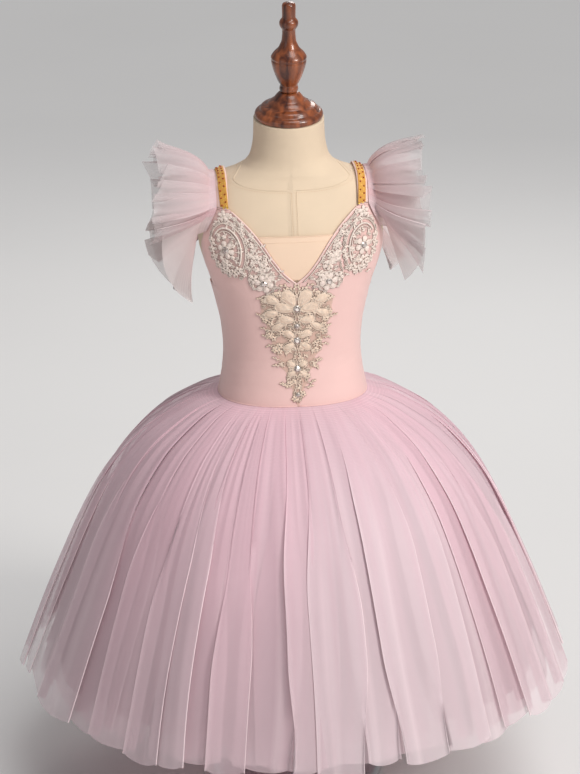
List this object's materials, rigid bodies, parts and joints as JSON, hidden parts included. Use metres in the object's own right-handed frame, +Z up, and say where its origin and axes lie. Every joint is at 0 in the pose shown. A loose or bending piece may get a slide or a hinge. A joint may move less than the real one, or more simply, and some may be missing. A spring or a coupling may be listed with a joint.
{
  "type": "ballet dress on a dress form",
  "caption": "Child's ballet dress with a V neck, fluttering tulle sleeves, lace on the bodice and a long gathered tulle skirt, worn by a limbless dress form on a round stand.",
  "frame": {"origin": "centre of the stand's foot, on the floor", "axes": "+Z up, the front of the dress faces -Y, the wearer's left side is +X"},
  "size_m": [0.7992, 0.7959, 1.1365],
  "materials": {
    "stretch_pink": "soft stretch knit with a faint satin sheen",
    "nude_mesh": "fine matt mesh",
    "tulle_pink": "sheer hexagonal net",
    "lace_ivory": "corded ivory lace",
    "gold_sequin": "shiny sequins on braid",
    "crystal": "faceted",
    "form_linen": "tight linen weave",
    "walnut": "glossy red-brown varnish",
    "stand_metal": "satin"
  },
  "bodies": {
    "root": {"bodice_front": "stretch_pink", "bodice_back": "stretch_pink", "modesty_panel": "nude_mesh", "neck_binding": "stretch_pink", "strap_left": "stretch_pink", "strap_right": "stretch_pink", "trim_left": "gold_sequin", "trim_right": "gold_sequin", "sleeve_upper_left": "tulle_pink", "sleeve_upper_right": "tulle_pink", "sleeve_lower_left": "tulle_pink", "sleeve_lower_right": "tulle_pink", "skirt_outer": "tulle_pink", "skirt_middle": "tulle_pink", "skirt_inner": "tulle_pink", "rosette_left": "lace_ivory", "rosette_right": "lace_ivory", "vine_left": "lace_ivory", "vine_right": "lace_ivory", "cascade": "lace_ivory", "form_torso": "form_linen", "form_neck_cap": "walnut", "form_finial": "walnut", "stand_pole": "stand_metal", "stand_base": "stand_metal", "stone_1": "crystal", "stone_2": "crystal", "stone_3": "crystal", "stone_4": "crystal", "stone_5": "crystal", "stone_6": "crystal", "stone_7": "crystal", "stone_8": "crystal", "stone_9": "crystal"}
  },
  "joints": []
}
